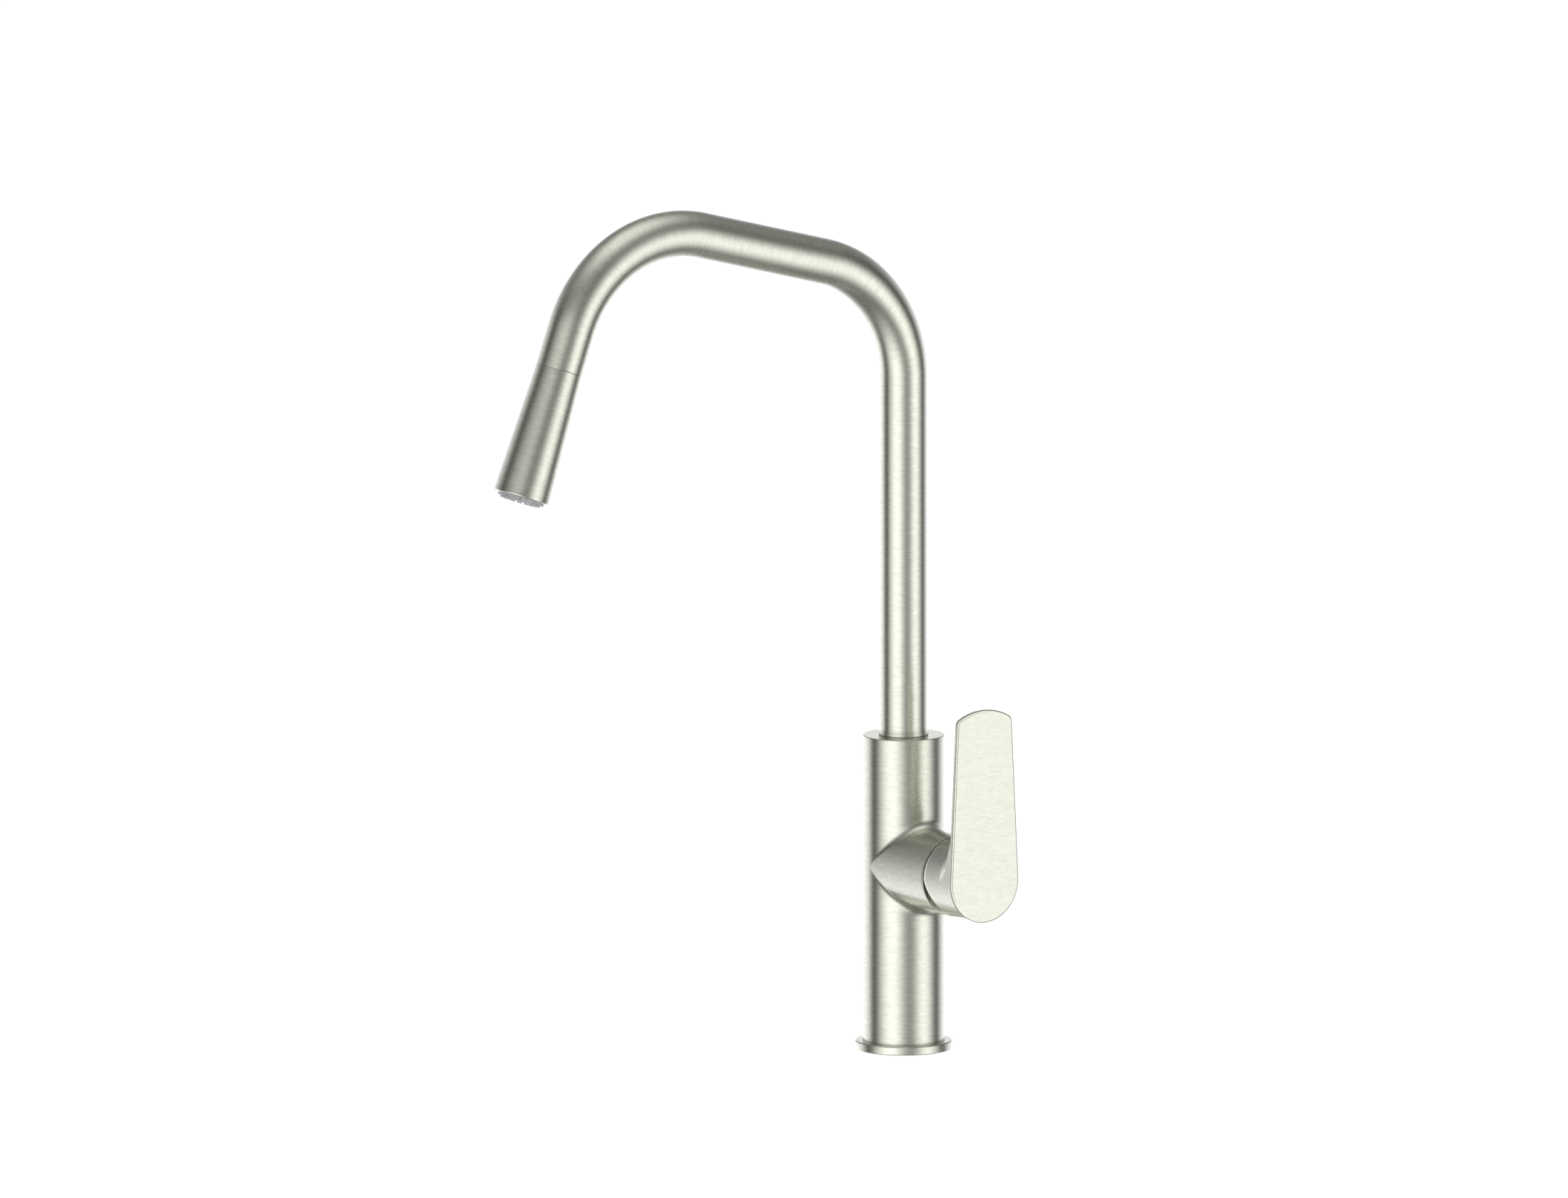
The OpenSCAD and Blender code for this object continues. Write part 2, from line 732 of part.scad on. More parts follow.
module slide_ring_lower() {
    slide_ring(ring_z_lower);
}

module dock_insert() {
    color(black_plastic) at_outlet() translate([0, 0, -dock_len]) ring(dock_r, dock_bore_r, dock_len);
}

module dock_magnet() {
    color(steel) at_outlet() translate([0, 0, -dock_len - magnet_len]) ring(dock_r - 0.1, 8.4, magnet_len);
}

module spray_hose_upper() {
    color(braid) spout_pipe(hose_r, hose_bore_r, hose_split_z, 0);
}

// Last stretch of the hose. It starts clear of the bent stretch, which is let in by its lap.
module spray_hose_end() {
    color(braid) at_outlet() translate([0, 0, hose_gap - outlet_len])
        ring(hose_r, hose_bore_r, outlet_len - hose_gap + sleeve_end - sleeve_crimp);
}

module crimp_sleeve() {
    color(steel) at_outlet() translate([0, 0, sleeve_top]) difference() {
        cylinder(r = sleeve_r, h = sleeve_end - sleeve_top);
        translate([0, 0, -1]) cylinder(r = hose_r + 0.02, h = sleeve_end - sleeve_top - 1);
        cylinder(r = nipple_r + 0.02, h = 40);
    }
}

module hose_nipple() {
    color(brass) at_outlet() difference() {
        union() {
            upright_cylinder(hose_bore_r - 0.02, sleeve_top + 2, sleeve_end - 1);
            upright_cylinder(nipple_r, sleeve_end - sleeve_crimp, nipple_end);
            upright_cylinder(nipple_flange_r, nipple_flange_z, nipple_flange_z + nipple_flange_t);
        }
        translate([0, 0, -40]) cylinder(r = 2.4, h = 80);
        translate([0, 0, nipple_groove_z]) ring(9, nipple_groove_r, nipple_groove_h);
    }
}

module nipple_seal() {
    color(rubber) at_outlet() translate([0, 0, nipple_groove_z + 0.1])
        ring(nipple_r - fit, nipple_groove_r + fit, nipple_groove_h - 0.2);
}

function head_r(h) = (head_top_d + (head_end_d - head_top_d) * h / head_len) / 2;

module spray_head_shell() {
    color(nickel) at_outlet() rotate_extrude() polygon(concat(
        [[collar_r + 0.1, seam], [head_r(0) - 0.3, seam], [head_r(0), seam + 0.3]],
        arc(head_end_d / 2 - 0.9, head_len - 0.9, 0.9, 0, 90, 5),
        [[head_end_bore_r + 0.3, head_len], [head_end_bore_r, head_len - 0.3],
         [head_end_bore_r, core_skirt_z + 8.3], [head_r(core_skirt_z + 4) - shell_wall, core_skirt_z + 7],
         [head_r(4) - shell_wall, seam + 2], [collar_r + 0.1, seam + 2]]));
}

module dock_collar() {
    color(black_plastic) at_outlet() difference() {
        union() {
            translate([0, 0, -collar_len]) cylinder(r = collar_r, h = collar_len + seam + 3);
            translate([0, 0, seam + 2.02]) cylinder(r = 10.8, h = 1.5);
        }
        translate([0, 0, -collar_len - 1]) cylinder(r = collar_bore_r, h = 40);
        cylinder(r = core_r + 0.1, h = 40);
    }
}

module head_magnet() {
    color(steel) at_outlet() translate([0, 0, -collar_len - head_magnet_len])
        ring(collar_r - 0.1, collar_bore_r, head_magnet_len);
}

// Nut that holds the nipple's flange to the core and lets the head turn on it
module swivel_nut() {
    color(brass) at_outlet() translate([0, 0, 0.6]) difference() {
        cylinder(r = core_r - 0.1, h = core_top - 0.6);
        translate([0, 0, -1]) cylinder(r = nipple_r + clear, h = 10);
        translate([0, 0, nipple_flange_z - 0.6 - 0.2]) cylinder(r = nipple_flange_r + clear, h = 10);
    }
}

module head_core() {
    color(white_plastic) at_outlet() difference() {
        union() {
            translate([0, 0, core_top]) cylinder(r = core_r, h = core_skirt_z - core_top + 1);
            translate([0, 0, core_skirt_z]) cylinder(r = core_skirt_r, h = nozzle_z - core_skirt_z);
        }
        upright_cylinder(core_bore_r, core_top - 1, core_seat);
        upright_cylinder(core_outlet_r, core_seat - 1, nozzle_z);
        translate([0, 0, core_skirt_z + 2]) cylinder(r = nozzle_bore_r, h = 20);
    }
}

module inlet_filter() {
    color(steel) at_outlet() translate([0, 0, filter_z]) difference() {
        cylinder(r = core_bore_r - fit, h = 1.2);
        for (i = [-3:3], j = [-3:3]) if (norm([i, j]) < 3.3)
            translate([i * 1.25, j * 1.25, -1]) cylinder(r = 0.4, h = 4);
    }
}

module check_valve() {
    color(white_plastic) at_outlet() translate([0, 0, valve_z]) difference() {
        cylinder(r = core_bore_r - fit, h = valve_len);
        translate([0, 0, -1]) cylinder(r = 2, h = 4);
        translate([0, 0, 2]) cylinder(r = 3.4, h = valve_len);
    }
}

module check_poppet() {
    color(black_plastic) at_outlet() translate([0, 0, valve_z + 2.2]) {
        cylinder(r = 2.9, h = 1.8);
        cylinder(r = 1, h = 7);
    }
}

module flow_restrictor() {
    color(black_plastic) at_outlet() translate([0, 0, core_seat - restrictor_t - 0.1]) difference() {
        cylinder(r = core_bore_r - fit, h = restrictor_t);
        for (i = [0:5]) rotate([0, 0, 60 * i]) translate([2.3, 0, -1]) cylinder(r = 0.6, h = 6);
    }
}

module nozzle_seal() {
    color(rubber) at_outlet() translate([0, 0, nozzle_z])
        ring(nozzle_r - 0.4, nozzle_bore_r + 0.2, nozzle_seal_t);
}

// Slots in the end of a ring, from the height z up and between two radii
module end_slots(count, width, from_r, to_r, z) {
    for (i = [0:count - 1]) rotate([0, 0, 360 * i / count])
        translate([from_r, -width / 2, z]) cube([to_r - from_r, width, 5]);
}

// Ring that holds the spray screen: a coin or a key turns it out by its teeth
module nozzle_ring() {
    color(grey_plastic) at_outlet() difference() {
        union() {
            upright_cylinder(nozzle_r, nozzle_z + nozzle_seal_t, nozzle_end);
            upright_cylinder(teeth_r, nozzle_z + nozzle_seal_t, nozzle_end + teeth_h);
        }
        upright_cylinder(nozzle_bore_r, nozzle_z, nozzle_z + nozzle_seal_t + screen_t);
        upright_cylinder(teeth_bore_r, nozzle_z, nozzle_end + 2 * teeth_h);
        end_slots(nozzle_notches, notch_w, teeth_r + 0.5, nozzle_r + 1, nozzle_end - notch_h);
        end_slots(nozzle_teeth, tooth_gap, teeth_bore_r - 1, teeth_r + 0.2, nozzle_end);
    }
}

module spray_screen() {
    color(white_plastic) at_outlet() translate([0, 0, nozzle_z + nozzle_seal_t]) difference() {
        cylinder(r = nozzle_bore_r - fit, h = screen_t);
        translate([0, 0, -1]) cylinder(r = 8.4, h = 6);
        for (k = [1:4], i = [0:6 * k - 1]) rotate([0, 0, 60 * i / k]) translate([screen_step * k, 0, 3])
            cylinder(r = 0.6, h = 8);
    }
}

body_casting();
base_flange();
base_seal();
mounting_shank();
deck_gasket();
clamp_washer();
mounting_nut();
jack_screws();
outlet_tube();
outlet_connector();
spray_hose_lower();
hose_end_fitting();
spout_stop_screw();
swivel_washer();
cartridge_base();
port_seals();
cartridge_housing();
fixed_disc();
retaining_nut();
trim_dome();
rotary_guide();
stem_pin();
moving_disc();
disc_carrier();
handle_lever();
lever_stem();
lever_set_screw();
set_screw_cap();
spout_tube();
spout_foot();
slide_ring_upper();
slide_ring_lower();
dock_insert();
dock_magnet();
spray_hose_upper();
spray_hose_end();
crimp_sleeve();
hose_nipple();
nipple_seal();
spray_head_shell();
dock_collar();
head_magnet();
swivel_nut();
head_core();
inlet_filter();
check_valve();
check_poppet();
flow_restrictor();
nozzle_seal();
nozzle_ring();
spray_screen();
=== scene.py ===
import json
import math

import bmesh
import bpy
import numpy as np
from mathutils import Matrix, Vector


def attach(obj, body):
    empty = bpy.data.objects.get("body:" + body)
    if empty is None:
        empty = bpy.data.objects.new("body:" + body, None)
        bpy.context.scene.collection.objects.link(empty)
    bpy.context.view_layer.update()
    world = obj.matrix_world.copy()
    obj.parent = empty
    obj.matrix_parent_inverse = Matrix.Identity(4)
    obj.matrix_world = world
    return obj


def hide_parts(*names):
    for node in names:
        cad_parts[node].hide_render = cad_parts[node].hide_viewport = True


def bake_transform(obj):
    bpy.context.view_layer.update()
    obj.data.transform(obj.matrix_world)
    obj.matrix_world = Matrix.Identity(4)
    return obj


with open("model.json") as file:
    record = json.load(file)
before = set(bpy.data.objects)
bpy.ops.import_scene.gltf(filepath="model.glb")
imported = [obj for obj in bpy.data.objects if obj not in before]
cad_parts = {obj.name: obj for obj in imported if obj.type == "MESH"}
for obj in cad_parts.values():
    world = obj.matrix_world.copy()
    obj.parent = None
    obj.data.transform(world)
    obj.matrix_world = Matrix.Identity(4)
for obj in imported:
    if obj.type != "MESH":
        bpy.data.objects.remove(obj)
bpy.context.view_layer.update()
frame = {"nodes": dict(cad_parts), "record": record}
NODES = frame["nodes"]
SLOT_OF = {p["node"]: p["material_slot"] for p in frame["record"]["subparts"]}

# The pieces that show are modelled here, finer than in CAD. The rest are the CAD nodes' own meshes,
# with a procedural material each.

# Sizes in millimetres, as in the CAD source
MM = 0.001
BODY_R = 21.5
BODY_TOP = 166.6
BODY_EDGE = 0.45
BRANCH_EDGE = 0.12
NECK_BORE_R = 12.3
SHANK_BORE_R = 16.6
FLANGE_R = 25.6
FLANGE_TOP = 4.6
LEVER_Z = 98.1
BRANCH_X = 50.0
BRANCH_BORE_R = 19.05
BLEND_R = 5.0
TUBE_R = 12.6
TUBE_BORE_R = 11.4
TUBE_START = 167.1
FOOT_R = 13.0
FOOT_BAND = 0.8
FOOT_SKIRT_R = 12.77
FOOT_H = 4.0
RISER_TOP = 355.8
BEND_R = 68.5
BEND_1 = 75.0
SLOPE = 79.7
BEND_2 = 85.0
OUTLET = 21.9
HEAD_LEN = 70.0
HEAD_TOP_R = 12.55
HEAD_END_R = 15.3
HEAD_WALL = 1.6
SEAM = 0.12
NOZZLE_R = 12.6
NOZZLE_END = 71.3
HUB_X = 51.0
HUB_CAVITY_R = 19.4
HUB_CAVITY_X = 62.0
HUB_RELIEF = 20.5
PLATE_X = 76.2
PLATE_T = 2.8
PLATE_TOP = 91.5
PLATE_LEAN = 2.8
PLATE_ARCH_R = 31.0
PLATE_CORNER_R = 4.0
PLATE_BLEND = 8.1
# Edge of the plate's face, from its side to its face: [inset, depth].
# The step runs along the left side, and fades over the top and the foot into the plain edge of the right.
PLATE_STEPS = [(0, 0.62), (0, 0.52), (0.03, 0.47), (0.08, 0.445), (0.15, 0.42),
               (0.60, 0.215), (0.66, 0.20), (0.72, 0.197), (1.10, 0.197), (1.15, 0.195),
               (1.21, 0.18), (1.58, 0.01), (1.64, 0.002), (1.72, 0)]
PLATE_PLAIN = [(0, 0.45), (0, 0.40), (0, 0.34), (0.03, 0.27), (0.09, 0.22),
               (0.15, 0.19), (0.42, 0.065), (0.50, 0.03), (0.60, 0.004), (0.72, 0),
               (0.90, 0), (1.10, 0), (1.40, 0), (1.72, 0)]
# Chamfer round the plate's back
BACK_INSET = 1.0
BACK_DEPTH = 1.38
# The plate's flat faces are closed from this inset inwards
PLATE_CAP = 3.2
HOSE_R = 6.5
HOSE_START = -OUTLET + 0.4
HOSE_END = -11.0
PULL = 280.0
# Rounding of the rims, and the chamfer at the mouth of a bore
SOFT_RIM = 0.8
CRISP_RIM = 0.14
BORE_CHAMFER = 0.2
# Where the modelled part of each bore ends, out of sight
BRANCH_BORE_FROM = 40.0
NECK_BORE_FROM = 150.0
SHANK_BORE_TO = 22.0
TUBE_BORE_DEPTH = 17.0
# Inside of the spray head: its neck, its top, where the toothed ring's bore starts, and the gap round it
HEAD_NECK_R = 9.7
HEAD_TOP_T = 2.0
HEAD_STEP_H = 58.3
NOZZLE_GAP = 0.3
# Toothed ring round the spray face: [inner radius, outer radius, from, to, notches, width, depth]
NOZZLE_RIM = (10.9, NOZZLE_R, 59.2, NOZZLE_END, 10, 1.1, 0.9)
NOZZLE_COLLAR = (9.2, 10.9, 66.0, NOZZLE_END + 1.1, 16, 1.5, 1.5)
# Points round a turned form, and rows along the body's walls and over the blend
ROUND_STEPS = 192
WALL_ROWS = 25
BLEND_ROWS = 11

# Camera: the photograph's angle and framing
AZIMUTH = math.radians(56.2)
ELEVATION = math.radians(9.1)
DISTANCE = 4.0
FRAME_WIDTH = 0.8219
OFFSET_RIGHT = -0.0627
OFFSET_UP = 0.2354


# ---------------------------------------------------------------- shapes

def arc(cx, cy, r, start, end, steps):
    """Points on a circle, its angles in degrees."""
    return [(cx + r * math.cos(math.radians(a)), cy + r * math.sin(math.radians(a)))
            for a in np.linspace(start, end, steps + 1)]


def supported(profile, gap=0.1):
    """The profile with a point near each end of its long stretches, so that flats shade as flats."""
    out = [profile[0]]
    for p, q in zip(profile, profile[1:]):
        length = math.dist(p, q)
        if length > 5 * gap:
            f = gap / length
            out.append((p[0] + (q[0] - p[0]) * f, p[1] + (q[1] - p[1]) * f))
            out.append((q[0] + (p[0] - q[0]) * f, q[1] + (p[1] - q[1]) * f))
        out.append(q)
    return out


def full_turn(steps):
    """Angles of evenly spaced points round an axis."""
    return np.linspace(0, 2 * math.pi, steps, endpoint=False)


def circle(r, turn, h):
    """Points at the radius r and the height h, one for each angle of turn."""
    return np.stack([r * np.cos(turn), r * np.sin(turn), h + 0 * turn], 1)


def moved(points, place):
    """Points after the matrix place."""
    m = np.array(place)
    return points @ m[:3, :3].T + m[:3, 3]


def eased(t):
    """Runs from 0 to 1 with soft ends."""
    return t * t * (3 - 2 * t)


def quads(rows, columns, closed, first):
    """Faces of a grid of points, row by row."""
    faces = []
    for i in range(rows - 1):
        for j in range(columns if closed else columns - 1):
            a, b = first + i * columns + j, first + i * columns + (j + 1) % columns
            faces.append((a, b, b + columns, a + columns))
    return faces


class Shape:
    """Points with their place along the brushing, and faces, that become one mesh object."""

    def __init__(self, name):
        self.name, self.points, self.brush, self.faces = name, [], [], []

    def grid(self, points, brush, closed=True):
        """Adds rows of points. Both arrays are (rows, columns, 3), in millimetres."""
        rows, columns = points.shape[:2]
        self.faces += quads(rows, columns, closed, len(self.points))
        self.points += points.reshape(-1, 3).tolist()
        self.brush += brush.reshape(-1, 3).tolist()

    def cap(self, ring, brush):
        """Closes a ring of points with one flat face."""
        first = len(self.points)
        self.faces.append(tuple(range(first, first + len(ring))))
        self.points += np.asarray(ring, float).tolist()
        self.brush += np.asarray(brush, float).tolist()

    def revolve(self, profile, steps=ROUND_STEPS, place=None):
        """Adds a turned form. The profile is (radius, height) points, and place puts its +Z axis."""
        turn = full_turn(steps)
        run = np.concatenate([[0], np.cumsum([math.dist(p, q) for p, q in zip(profile, profile[1:])])])
        points = np.array([circle(r, turn, h) for r, h in profile])
        brush = np.array([circle(r, turn, along) for (r, _), along in zip(profile, run)])
        self.grid(points if place is None else moved(points, place), brush)

    def build(self, material, sharp=32):
        """Makes the mesh object. Edges that turn more than sharp degrees stay crisp."""
        mesh = bpy.data.meshes.new(self.name)
        mesh.from_pydata((np.array(self.points) * MM).tolist(), [], self.faces)
        layer = mesh.attributes.new("brush", "FLOAT_VECTOR", "POINT")
        layer.data.foreach_set("vector", (np.array(self.brush) * MM).astype(np.float32).ravel())
        bm = bmesh.new()
        bm.from_mesh(mesh)
        bmesh.ops.remove_doubles(bm, verts=bm.verts, dist=2e-6)
        bmesh.ops.dissolve_degenerate(bm, edges=bm.edges, dist=1e-7)
        loose = [v for v in bm.verts if not v.link_faces]
        bmesh.ops.delete(bm, geom=loose, context="VERTS")
        bmesh.ops.recalc_face_normals(bm, faces=bm.faces)
        bm.to_mesh(mesh)
        bm.free()
        mesh.shade_smooth()
        mesh.set_sharp_from_angle(angle=math.radians(sharp))
        mesh.materials.append(material)
        obj = bpy.data.objects.new(self.name, mesh)
        bpy.context.scene.collection.objects.link(obj)
        return obj


def spout_line(s):
    """Point and tilt in degrees on the spout's centre line, at the distance s from the deck."""
    y, z, tilt = 0.0, 0.0, 0.0
    for straight, bend in ((RISER_TOP, BEND_1), (SLOPE, BEND_2), (OUTLET, 0.0)):
        d = min(s, straight) if bend else s
        y, z = y - d * math.sin(math.radians(tilt)), z + d * math.cos(math.radians(tilt))
        s -= d
        if s <= 0 or not bend:
            break
        turned = min(math.degrees(s / BEND_R), bend)
        a, b = math.radians(tilt), math.radians(tilt + turned)
        y, z = y - BEND_R * (math.cos(a) - math.cos(b)), z + BEND_R * (math.sin(b) - math.sin(a))
        tilt += turned
        s -= BEND_R * math.radians(turned)
    return (0.0, y, z), tilt


SPOUT_LEN = RISER_TOP + SLOPE + OUTLET + BEND_R * math.radians(BEND_1 + BEND_2)


def spout_place(s):
    """A matrix that puts +Z along the spout's centre line, at the distance s from the deck."""
    point, tilt = spout_line(s)
    return Matrix.Translation(point) @ Matrix.Rotation(math.radians(tilt), 4, "X")


def outlet_place():
    """The same at the spout's end, where the spray head docks."""
    return spout_place(SPOUT_LEN)


# ---------------------------------------------------------------- materials

NICKEL = (0.700, 0.705, 0.615)
# Nickel darkened as painted shade, for the cartridge's cover in the gap behind the lever's hub
PAINTED_SHADE_NICKEL = (0.20, 0.20, 0.18)
BRASS = (0.78, 0.60, 0.32)
STEEL = (0.60, 0.61, 0.62)
# Scales of the brush lines' pattern, across and along them
ACROSS = 900
ALONG = 180
# The same along X, Y and Z for CAD nodes, whose lines run round the axis that they are turned on
TURNED_ON_X = (900, 300, 300)
TURNED_ON_Z = (300, 300, 1800)
# The metals' grain is this many times as fine as their brush lines
GRAIN_FINER = 3.1
# Scale of the braid's strands, and the angle by which each set is turned, in degrees
STRANDS = 260.0
STRAND_ANGLE = 52


class Nodes:
    """A material's node tree, with short calls to add and join nodes."""

    def __init__(self, name):
        self.material = bpy.data.materials.new(name)
        self.material.use_nodes = True
        self.tree = self.material.node_tree
        self.tree.nodes.clear()
        self.out = self.tree.nodes.new("ShaderNodeOutputMaterial")
        self.shader = self.tree.nodes.new("ShaderNodeBsdfPrincipled")
        self.join(self.shader.outputs[0], self.out.inputs["Surface"])

    def join(self, a, b):
        self.tree.links.new(a, b)

    def set(self, **values):
        for key, value in values.items():
            self.shader.inputs[key.replace("_", " ")].default_value = value

    def place(self, attribute, scale):
        """Texture coordinates from a mesh attribute, or from the object itself, stretched by scale."""
        if attribute:
            source = self.tree.nodes.new("ShaderNodeAttribute")
            source.attribute_name = attribute
            out = source.outputs["Vector"]
        else:
            out = self.tree.nodes.new("ShaderNodeTexCoord").outputs["Object"]
        mapping = self.tree.nodes.new("ShaderNodeMapping")
        mapping.inputs["Scale"].default_value = scale
        self.join(out, mapping.inputs["Vector"])
        return mapping.outputs["Vector"]

    def noise(self, where, detail=2.0, rough=0.5):
        node = self.tree.nodes.new("ShaderNodeTexNoise")
        node.inputs["Scale"].default_value = 1.0
        node.inputs["Detail"].default_value = detail
        node.inputs["Roughness"].default_value = rough
        self.join(where, node.inputs["Vector"])
        return node.outputs["Fac"]

    def ramp(self, value, stops):
        node = self.tree.nodes.new("ShaderNodeValToRGB")
        fill_ramp(node.color_ramp, stops)
        self.join(value, node.inputs["Fac"])
        return node.outputs["Color"]

    def spread(self, value, low, high):
        """The value, about 0.3 to 0.7 from a noise, as a number from low to high."""
        node = self.tree.nodes.new("ShaderNodeMapRange")
        node.inputs["From Min"].default_value = 0.3
        node.inputs["From Max"].default_value = 0.7
        node.inputs["To Min"].default_value = low
        node.inputs["To Max"].default_value = high
        self.join(value, node.inputs["Value"])
        return node.outputs["Result"]

    def bump(self, height, depth):
        node = self.tree.nodes.new("ShaderNodeBump")
        node.inputs["Strength"].default_value = 1.0
        node.inputs["Distance"].default_value = depth
        self.join(height, node.inputs["Height"])
        self.join(node.outputs["Normal"], self.shader.inputs["Normal"])


def fill_ramp(ramp, stops, interpolation="LINEAR"):
    """Sets a colour ramp to (place, colour) stops."""
    ramp.interpolation = interpolation
    while len(ramp.elements) > 1:
        ramp.elements.remove(ramp.elements[0])
    ramp.elements[0].position = stops[0][0]
    for place, _ in stops[1:]:
        ramp.elements.new(place)
    for element, (_, colour) in zip(ramp.elements, stops):
        element.color = (*colour, 1.0)


def shade(colour, k):
    """The colour, k times as bright."""
    return tuple(min(1.0, c * k) for c in colour)


def brushed(name, colour, roughness, scale, attribute="brush", depth=4e-6, contrast=0.05):
    """Metal with fine broken brush lines. With brush coordinates they lie across the third of them."""
    n = Nodes(name)
    n.set(Metallic=1.0)
    lines = n.noise(n.place(attribute, scale), detail=4.0, rough=0.65)
    grain = n.noise(n.place(attribute, tuple(GRAIN_FINER * s for s in scale)), detail=1.0)
    stops = [(0.25, shade(colour, 1 - contrast)), (0.5, colour), (0.72, shade(colour, 1 + contrast))]
    n.join(n.ramp(lines, stops), n.shader.inputs["Base Color"])
    n.join(n.spread(grain, roughness - 0.03, roughness + 0.03), n.shader.inputs["Roughness"])
    n.bump(lines, depth)
    return n.material


def nickel_material():
    return brushed("brushed_nickel", NICKEL, 0.28, (ALONG, ALONG, ACROSS), depth=6e-6, contrast=0.12)


def nickel_plate_material():
    return brushed("brushed_nickel_plate", NICKEL, 0.26, (ALONG, ALONG, ACROSS), depth=6e-6, contrast=0.08)


def nickel_turned_material():
    """For CAD nodes of the same metal, which carry no brush coordinates."""
    return brushed("brushed_nickel_turned", NICKEL, 0.28, TURNED_ON_X, attribute=None)


def painted_shade_nickel_material():
    """For the cover inside the lever's hub: nickel darkened as painted shade for the dark gap behind the hub.
    """
    return brushed("nickel_painted_shade", PAINTED_SHADE_NICKEL, 0.45, TURNED_ON_X, attribute=None)


def brass_material():
    return brushed("turned_brass", BRASS, 0.28, TURNED_ON_Z, attribute=None, contrast=0.08)


def steel_material():
    return brushed("turned_steel", STEEL, 0.30, TURNED_ON_Z, attribute=None, contrast=0.08)


def moulded(name, colour, roughness, grain=0.03, depth=1.5e-5):
    """Moulded plastic, rubber or ceramic with a faint cloudy colour and a fine eggshell grain."""
    n = Nodes(name)
    cloud = n.noise(n.place(None, (60, 60, 60)), detail=3.0)
    fine = n.noise(n.place(None, (2500, 2500, 2500)), detail=2.0)
    stops = [(0.3, shade(colour, 1 - grain)), (0.7, shade(colour, 1 + grain))]
    n.join(n.ramp(cloud, stops), n.shader.inputs["Base Color"])
    n.join(n.spread(fine, roughness - 0.05, roughness + 0.05), n.shader.inputs["Roughness"])
    n.bump(fine, depth)
    return n.material


def rubber_material():
    return moulded("black_rubber", (0.028, 0.028, 0.030), roughness=0.62, grain=0.15)


def black_plastic_material():
    return moulded("black_moulding", (0.035, 0.035, 0.038), roughness=0.42, grain=0.10)


def white_plastic_material():
    return moulded("white_moulding", (0.80, 0.80, 0.77), roughness=0.38)


def grey_plastic_material():
    return moulded("grey_moulding", (0.60, 0.61, 0.62), roughness=0.34, grain=0.06)


def ceramic_material():
    return moulded("lapped_ceramic", (0.84, 0.82, 0.77), roughness=0.12, grain=0.02, depth=3e-6)


def braid_material(attribute=None):
    """Woven sleeve: two crossed sets of strands, on brush coordinates or on a CAD node's own."""
    n = Nodes("hose_sleeve" if attribute else "hose_sleeve_inner")
    where = n.place(attribute, (1.0, 1.0, 1.0))
    total = None
    for turn in (math.radians(STRAND_ANGLE), math.radians(-STRAND_ANGLE)):
        mapping = n.tree.nodes.new("ShaderNodeMapping")
        mapping.inputs["Rotation"].default_value = (0, 0, turn) if attribute else (turn, 0, 0)
        n.join(where, mapping.inputs["Vector"])
        wave = n.tree.nodes.new("ShaderNodeTexWave")
        wave.bands_direction = "X" if attribute else "Z"
        wave.inputs["Scale"].default_value = STRANDS
        wave.inputs["Distortion"].default_value = 0.4
        n.join(mapping.outputs["Vector"], wave.inputs["Vector"])
        if total is None:
            total = wave.outputs["Fac"]
        else:
            mix = n.tree.nodes.new("ShaderNodeMath")
            mix.operation = "MAXIMUM"
            n.join(total, mix.inputs[0])
            n.join(wave.outputs["Fac"], mix.inputs[1])
            total = mix.outputs[0]
    stops = [(0.2, (0.13, 0.135, 0.14)), (0.7, (0.36, 0.37, 0.385)), (1.0, (0.46, 0.47, 0.48))]
    n.join(n.ramp(total, stops), n.shader.inputs["Base Color"])
    n.set(Roughness=0.48)
    n.bump(total, 1.2e-4)
    return n.material


# ---------------------------------------------------------------- visible pieces

def body_side(shape, turn, side):
    """Body's wall above or below the branch (side 1 or -1), with its half of the hollow blend."""
    c = BODY_R * np.maximum(np.cos(turn), 0)
    r = BLEND_R * np.maximum(np.cos(turn), 0)
    end = BODY_TOP - LEVER_Z - BODY_EDGE if side > 0 else LEVER_Z - FLANGE_TOP
    t = np.linspace(0, 1, WALL_ROWS)[:, None]
    h = end + (c + r - end) * t
    x, y = BODY_R * np.cos(turn) + 0 * h, BODY_R * np.sin(turn) + 0 * h
    shape.grid(np.stack([x, y, LEVER_Z + side * h], 2), np.stack([x, y, h], 2))

    quarter = len(turn) // 4
    front = list(range(-quarter, quarter + 1))
    a = np.linspace(0, math.pi / 2, BLEND_ROWS)[:, None]
    c, r = c[front], r[front]
    x, h = c + r - r * np.cos(a), c + r - r * np.sin(a)
    y = BODY_R * np.sin(turn[front]) + 0 * h
    on_body = BODY_R * np.cos(turn[front]) + 0 * h
    brush = np.stack([on_body, y, np.maximum(x, h)], 2)
    shape.grid(np.stack([x, y, LEVER_Z + side * h], 2), brush, closed=False)


def branch(shape, turn):
    """Side branch from the blend to its rim, and the start of its bore."""
    start = (BODY_R + BLEND_R) * np.abs(np.cos(turn))
    t = np.linspace(0, 1, WALL_ROWS)[:, None]
    x = start + (BRANCH_X - BRANCH_EDGE - start) * t
    y, h = BODY_R * np.sin(turn) + 0 * x, BODY_R * np.cos(turn) + 0 * x
    shape.grid(np.stack([x, y, LEVER_Z + h], 2), lengthways(x, y, h))

    rim = supported(arc(BRANCH_X - BRANCH_EDGE, BODY_R - BRANCH_EDGE, BRANCH_EDGE, 90, 0, 4)
                    + [(BRANCH_X, BRANCH_BORE_R + BORE_CHAMFER), (BRANCH_X - BORE_CHAMFER, BRANCH_BORE_R),
                       (BRANCH_BORE_FROM, BRANCH_BORE_R)])
    x, r = np.array(rim).T[:, :, None]
    y, h = r * np.sin(turn), r * np.cos(turn)
    x = x + 0 * y
    shape.grid(np.stack([x, y, LEVER_Z + h], 2), lengthways(x, y, h))


